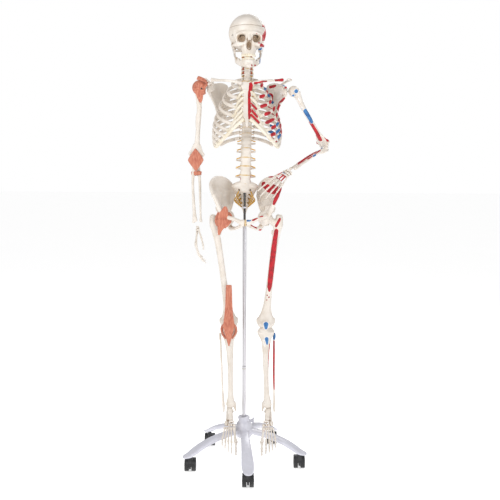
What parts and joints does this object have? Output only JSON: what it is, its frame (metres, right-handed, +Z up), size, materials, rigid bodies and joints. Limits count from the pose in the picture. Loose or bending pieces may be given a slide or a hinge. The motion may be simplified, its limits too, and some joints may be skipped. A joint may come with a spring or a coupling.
{
  "type": "human skeleton model",
  "caption": "Jointed life-size teaching skeleton with painted muscle areas and ligaments, hung from a pole on a five-armed roller stand",
  "frame": {"origin": "middle of the footprint of the whole model, on the floor", "axes": "+Z up, the skeleton faces -Y, so its own right side is at -X"},
  "size_m": [0.6352, 0.5397, 1.92],
  "materials": {
    "bone_plastic": "semi-matte ivory plastic with painted muscle areas on the left side",
    "cartilage_plastic": "semi-matte, a little yellower than the bone",
    "ligament_rubber": "matte terracotta rubber",
    "white_enamel": "satin pale grey powder coat",
    "pole_steel": "satin steel tube",
    "dark_steel": "dark threaded rod",
    "black_nylon": "black nylon"
  },
  "bodies": {
    "stand": {"star_base": "white_enamel"},
    "caster_1": {"caster_housing_1": "black_nylon"},
    "wheels_1": {"caster_wheels_1": "black_nylon"},
    "caster_2": {"caster_housing_2": "black_nylon"},
    "wheels_2": {"caster_wheels_2": "black_nylon"},
    "caster_3": {"caster_housing_3": "black_nylon"},
    "wheels_3": {"caster_wheels_3": "black_nylon"},
    "caster_4": {"caster_housing_4": "black_nylon"},
    "wheels_4": {"caster_wheels_4": "black_nylon"},
    "caster_5": {"caster_housing_5": "black_nylon"},
    "wheels_5": {"caster_wheels_5": "black_nylon"},
    "knob": {"clamp_knob": "white_enamel"},
    "pelvis": {"lower_pole": "pole_steel", "upper_pole": "pole_steel", "pelvic_rod": "dark_steel", "sacrum": "bone_plastic", "hip_bone_right": "bone_plastic", "hip_bone_left": "bone_plastic", "pubic_symphysis": "cartilage_plastic", "hip_ligament_right": "ligament_rubber"},
    "loin": {"lumbar_spine": "bone_plastic"},
    "chest": {"thoracic_block_1": "bone_plastic", "thoracic_block_2": "bone_plastic", "thoracic_block_3": "bone_plastic", "thoracic_block_4": "bone_plastic", "sternum_and_cartilages": "cartilage_plastic", "clavicle_right": "bone_plastic", "clavicle_left": "bone_plastic", "scapula_right": "bone_plastic", "scapula_left": "bone_plastic", "shoulder_ligament_right": "ligament_rubber"},
    "neck": {"cervical_spine": "bone_plastic"},
    "atlas_turning": {"atlas": "bone_plastic"},
    "head": {"skull_base": "bone_plastic"},
    "cap": {"skull_cap": "bone_plastic"},
    "jaw": {"mandible": "bone_plastic"},
    "shoulder_right": {"shoulder_pin_right": "dark_steel"},
    "upper_arm_right": {"humerus_right": "bone_plastic", "elbow_ligament_right": "ligament_rubber"},
    "forearm_right": {"ulna_right": "bone_plastic"},
    "turning_forearm_right": {"radius_right": "bone_plastic"},
    "hand_right": {"hand_right": "bone_plastic"},
    "hip_right": {"hip_pin_right": "dark_steel"},
    "thigh_right": {"femur_right": "bone_plastic", "patella_right": "bone_plastic", "knee_ligament_right": "ligament_rubber"},
    "shank_right": {"tibia_right": "bone_plastic", "fibula_right": "bone_plastic"},
    "foot_right": {"foot_right": "bone_plastic"},
    "shoulder_left": {"shoulder_pin_left": "dark_steel"},
    "upper_arm_left": {"humerus_left": "bone_plastic"},
    "forearm_left": {"ulna_left": "bone_plastic"},
    "turning_forearm_left": {"radius_left": "bone_plastic"},
    "hand_left": {"hand_left": "bone_plastic"},
    "hip_left": {"hip_pin_left": "dark_steel"},
    "thigh_left": {"femur_left": "bone_plastic", "patella_left": "bone_plastic"},
    "shank_left": {"tibia_left": "bone_plastic", "fibula_left": "bone_plastic"},
    "foot_left": {"foot_left": "bone_plastic"}
  },
  "joints": [
    {"name": "caster_swivel_1", "type": "hinge", "parent": "stand", "child": "caster_1", "pos_m": [-0.03354, -0.23523, 0.07], "axis": [0, 0, 1], "continuous": true},
    {"name": "caster_roll_1", "type": "hinge", "parent": "caster_1", "child": "wheels_1", "pos_m": [-0.03354, -0.21924, 0.0265], "axis": [1, 0, 0], "continuous": true},
    {"name": "caster_swivel_2", "type": "hinge", "parent": "stand", "child": "caster_2", "pos_m": [0.18815, -0.04589, 0.07], "axis": [0, 0, 1], "continuous": true},
    {"name": "caster_roll_2", "type": "hinge", "parent": "caster_2", "child": "wheels_2", "pos_m": [0.18815, -0.02989, 0.0265], "axis": [1, 0, 0], "continuous": true},
    {"name": "caster_swivel_3", "type": "hinge", "parent": "stand", "child": "caster_3", "pos_m": [0.07658, 0.22345, 0.07], "axis": [0, 0, 1], "continuous": true},
    {"name": "caster_roll_3", "type": "hinge", "parent": "caster_3", "child": "wheels_3", "pos_m": [0.07658, 0.23946, 0.0265], "axis": [1, 0, 0], "continuous": true},
    {"name": "caster_swivel_4", "type": "hinge", "parent": "stand", "child": "caster_4", "pos_m": [-0.21406, 0.20058, 0.07], "axis": [0, 0, 1], "continuous": true},
    {"name": "caster_roll_4", "type": "hinge", "parent": "caster_4", "child": "wheels_4", "pos_m": [-0.21406, 0.21658, 0.0265], "axis": [1, 0, 0], "continuous": true},
    {"name": "caster_swivel_5", "type": "hinge", "parent": "stand", "child": "caster_5", "pos_m": [-0.28212, -0.08291, 0.07], "axis": [0, 0, 1], "continuous": true},
    {"name": "caster_roll_5", "type": "hinge", "parent": "caster_5", "child": "wheels_5", "pos_m": [-0.28212, -0.06691, 0.0265], "axis": [1, 0, 0], "continuous": true},
    {"name": "knob_turn", "type": "hinge", "parent": "stand", "child": "knob", "pos_m": [-0.053, 0.012, 0.19], "axis": [0.9397, 0.342, 0], "continuous": true},
    {"name": "pole_turn", "type": "hinge", "parent": "stand", "child": "pelvis", "pos_m": [-0.053, 0.012, 0.2], "axis": [0, 0, 1], "range_deg": [-8, 5]},
    {"name": "waist_bend", "type": "hinge", "parent": "pelvis", "child": "loin", "pos_m": [-0.051, 0.012, 1.231], "axis": [1, 0, 0], "range_deg": [-2, 7]},
    {"name": "side_bend", "type": "hinge", "parent": "loin", "child": "chest", "pos_m": [-0.04642, 0.01474, 1.411], "axis": [0, 1, 0], "range_deg": [-5, 5]},
    {"name": "neck_bend", "type": "hinge", "parent": "chest", "child": "neck", "pos_m": [-0.044, 0.01844, 1.675], "axis": [1, 0, 0], "range_deg": [-10, 10]},
    {"name": "head_turn", "type": "hinge", "parent": "neck", "child": "atlas_turning", "pos_m": [-0.044, 0.00451, 1.7668], "axis": [0, 0, 1], "range_deg": [-45, 45]},
    {"name": "head_nod", "type": "hinge", "parent": "atlas_turning", "child": "head", "pos_m": [-0.044, 0.002, 1.7808], "axis": [0.9962, 0.0872, 0], "range_deg": [-8, 8]},
    {"name": "cap_lift", "type": "slide", "parent": "head", "child": "cap", "axis": [0, 0, 1], "range_m": [0, 0.12]},
    {"name": "jaw_open", "type": "hinge", "parent": "head", "child": "jaw", "pos_m": [-0.04348, -0.00398, 1.782], "axis": [0.9962, 0.0872, 0], "range_deg": [0, 22], "stiffness_Nm_per_rad": 0.5, "springref_deg": -8.59},
    {"name": "shoulder_swing_right", "type": "hinge", "parent": "chest", "child": "shoulder_right", "pos_m": [-0.238, 0.02, 1.625], "axis": [-1, 0, 0], "range_deg": [-20, 60]},
    {"name": "shoulder_raise_right", "type": "hinge", "parent": "shoulder_right", "child": "upper_arm_right", "pos_m": [-0.238, 0.02, 1.625], "axis": [0, 1, 0], "range_deg": [0, 45], "deforming": ["shoulder_ligament_right"]},
    {"name": "elbow_bend_right", "type": "hinge", "parent": "upper_arm_right", "child": "forearm_right", "pos_m": [-0.25895, 0.02359, 1.32575], "axis": [-1, 0, 0], "range_deg": [0, 90], "deforming": ["elbow_ligament_right"]},
    {"name": "forearm_turn_right", "type": "hinge", "parent": "forearm_right", "child": "turning_forearm_right", "pos_m": [-0.27255, 0.02212, 1.31242], "axis": [0.1391, -0.1083, -0.9843], "range_deg": [-20, 40]},
    {"name": "wrist_bend_right", "type": "hinge", "parent": "turning_forearm_right", "child": "hand_right", "pos_m": [-0.25084, -0.00614, 1.0555], "axis": [0.1395, -0.9866, 0.0847], "range_deg": [-25, 10]},
    {"name": "hip_swing_right", "type": "hinge", "parent": "pelvis", "child": "hip_right", "pos_m": [-0.136, -0.028, 1.085], "axis": [-1, 0, 0], "range_deg": [-1, 30]},
    {"name": "hip_spread_right", "type": "hinge", "parent": "hip_right", "child": "thigh_right", "pos_m": [-0.136, -0.028, 1.085], "axis": [0, 1, 0], "range_deg": [-1, 12], "deforming": ["hip_ligament_right"]},
    {"name": "knee_bend_right", "type": "hinge", "parent": "thigh_right", "child": "shank_right", "pos_m": [-0.117, -0.033, 0.617], "axis": [1, 0, 0], "range_deg": [0, 3], "deforming": ["knee_ligament_right"]},
    {"name": "ankle_bend_right", "type": "hinge", "parent": "shank_right", "child": "foot_right", "pos_m": [-0.113, -0.028, 0.256], "axis": [1, 0, 0], "range_deg": [-30, 5]},
    {"name": "shoulder_swing_left", "type": "hinge", "parent": "chest", "child": "shoulder_left", "pos_m": [0.15, 0.02, 1.613], "axis": [-1, 0, 0], "range_deg": [0, 40]},
    {"name": "shoulder_raise_left", "type": "hinge", "parent": "shoulder_left", "child": "upper_arm_left", "pos_m": [0.15, 0.02, 1.613], "axis": [0, -1, 0], "range_deg": [-8, 3]},
    {"name": "elbow_bend_left", "type": "hinge", "parent": "upper_arm_left", "child": "forearm_left", "pos_m": [0.30029, 0.15314, 1.39009], "axis": [-0.7347, 0.6718, -0.0941], "range_deg": [-2, 8]},
    {"name": "forearm_turn_left", "type": "hinge", "parent": "forearm_left", "child": "turning_forearm_left", "pos_m": [0.30279, 0.13454, 1.38651], "axis": [-0.6751, -0.6292, -0.3851], "range_deg": [-10, 10]},
    {"name": "wrist_bend_left", "type": "hinge", "parent": "turning_forearm_left", "child": "hand_left", "pos_m": [0.13756, -0.03917, 1.28753], "axis": [-0.7395, 0.4404, 0.509], "range_deg": [-5, 25]},
    {"name": "hip_swing_left", "type": "hinge", "parent": "pelvis", "child": "hip_left", "pos_m": [0.044, -0.028, 1.085], "axis": [-1, 0, 0], "range_deg": [-1, 30]},
    {"name": "hip_spread_left", "type": "hinge", "parent": "hip_left", "child": "thigh_left", "pos_m": [0.044, -0.028, 1.085], "axis": [0, -1, 0], "range_deg": [-1, 12]},
    {"name": "knee_bend_left", "type": "hinge", "parent": "thigh_left", "child": "shank_left", "pos_m": [0.039, -0.033, 0.617], "axis": [1, 0, 0], "range_deg": [0, 4]},
    {"name": "ankle_bend_left", "type": "hinge", "parent": "shank_left", "child": "foot_left", "pos_m": [0.051, -0.028, 0.256], "axis": [1, 0, 0], "range_deg": [-30, 5]}
  ]
}
